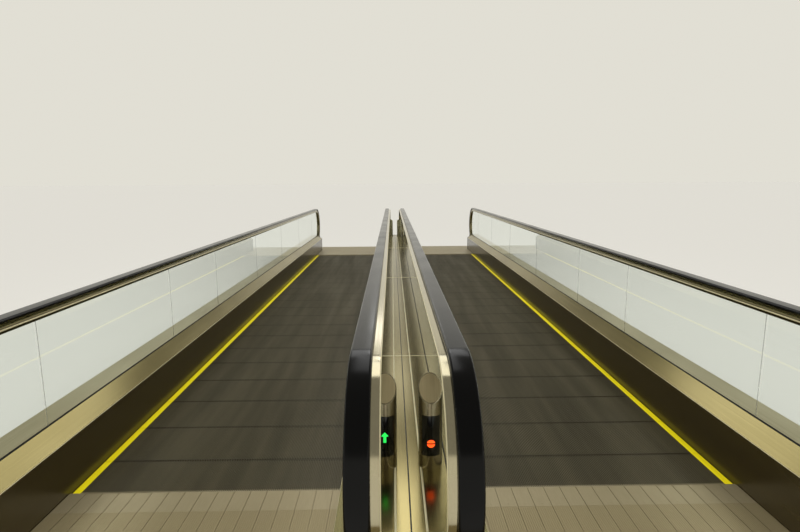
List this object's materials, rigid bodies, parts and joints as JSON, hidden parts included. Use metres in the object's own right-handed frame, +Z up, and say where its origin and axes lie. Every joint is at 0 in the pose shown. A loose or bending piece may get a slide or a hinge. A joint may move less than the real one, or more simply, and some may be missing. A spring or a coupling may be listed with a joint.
{
  "type": "moving walkway",
  "caption": "Level airport moving walkway: twin pallet lanes with yellow edges, glass balustrades, black handrails, combs, landings and a shared steel centre deck with signal posts",
  "frame": {"origin": "middle of the underside of the base frame, midway along the lanes and between them", "axes": "+X across the lanes to the right, +Y along the lanes from the near end to the far end, +Z up"},
  "size_m": [3.89, 11.39, 1.117],
  "materials": {
    "pallet_metal": "die-cast pallet, dark grey coating, fine grooves",
    "yellow_edge": "yellow moulded edge insert",
    "comb_metal": "cast comb plate, clear finish",
    "landing_metal": "ribbed extruded floor plate",
    "frame_steel": "primed structural steel",
    "dark_skirt": "near-black low-friction coating, semi-gloss",
    "brushed_deck": "stainless sheet, fine lengthwise brushing",
    "clear_glass": "tempered clear glass with pale green edges",
    "handrail_rubber": "glossy black moulded rubber",
    "polished_guide": "polished stainless profile",
    "clamp_profile": "extruded aluminium clamp and steel brackets",
    "moulded_cap": "black moulded inlet cap",
    "post_steel": "brushed stainless tube",
    "dark_window": "black display window"
  },
  "bodies": {
    "root": {"centre_cover_plates": "brushed_deck", "centre_deck_plates": "brushed_deck", "centre_spine": "frame_steel", "end_fascias": "brushed_deck", "handrail_inlet_caps": "moulded_cap", "inner_glass_clamps": "clamp_profile", "landing_bearers": "frame_steel", "left_base_frame": "frame_steel", "left_comb_pallets": "pallet_metal", "left_combs": "comb_metal", "left_inner_glass": "clear_glass", "left_inner_handrail": "handrail_rubber", "left_inner_handrail_guide": "polished_guide", "left_inner_handrail_trim": "polished_guide", "left_inner_skirt": "dark_skirt", "left_landing_plates": "landing_metal", "left_outer_glass": "clear_glass", "left_outer_handrail": "handrail_rubber", "left_outer_handrail_guide": "polished_guide", "left_outer_skirt": "dark_skirt", "left_pallets": "pallet_metal", "left_sloping_decks": "brushed_deck", "newel_floor_plates": "landing_metal", "outer_claddings": "brushed_deck", "outer_decks": "brushed_deck", "outer_glass_clamps": "clamp_profile", "post_windows": "dark_window", "right_base_frame": "frame_steel", "right_comb_pallets": "pallet_metal", "right_combs": "comb_metal", "right_inner_glass": "clear_glass", "right_inner_handrail": "handrail_rubber", "right_inner_handrail_guide": "polished_guide", "right_inner_handrail_trim": "polished_guide", "right_inner_skirt": "dark_skirt", "right_landing_plates": "landing_metal", "right_outer_glass": "clear_glass", "right_outer_handrail": "handrail_rubber", "right_outer_handrail_guide": "polished_guide", "right_outer_skirt": "dark_skirt", "right_pallets": "pallet_metal", "right_sloping_decks": "brushed_deck", "signal_posts": "post_steel", "track_rails": "frame_steel", "yellow_pallet_edges": "yellow_edge"}
  },
  "joints": []
}
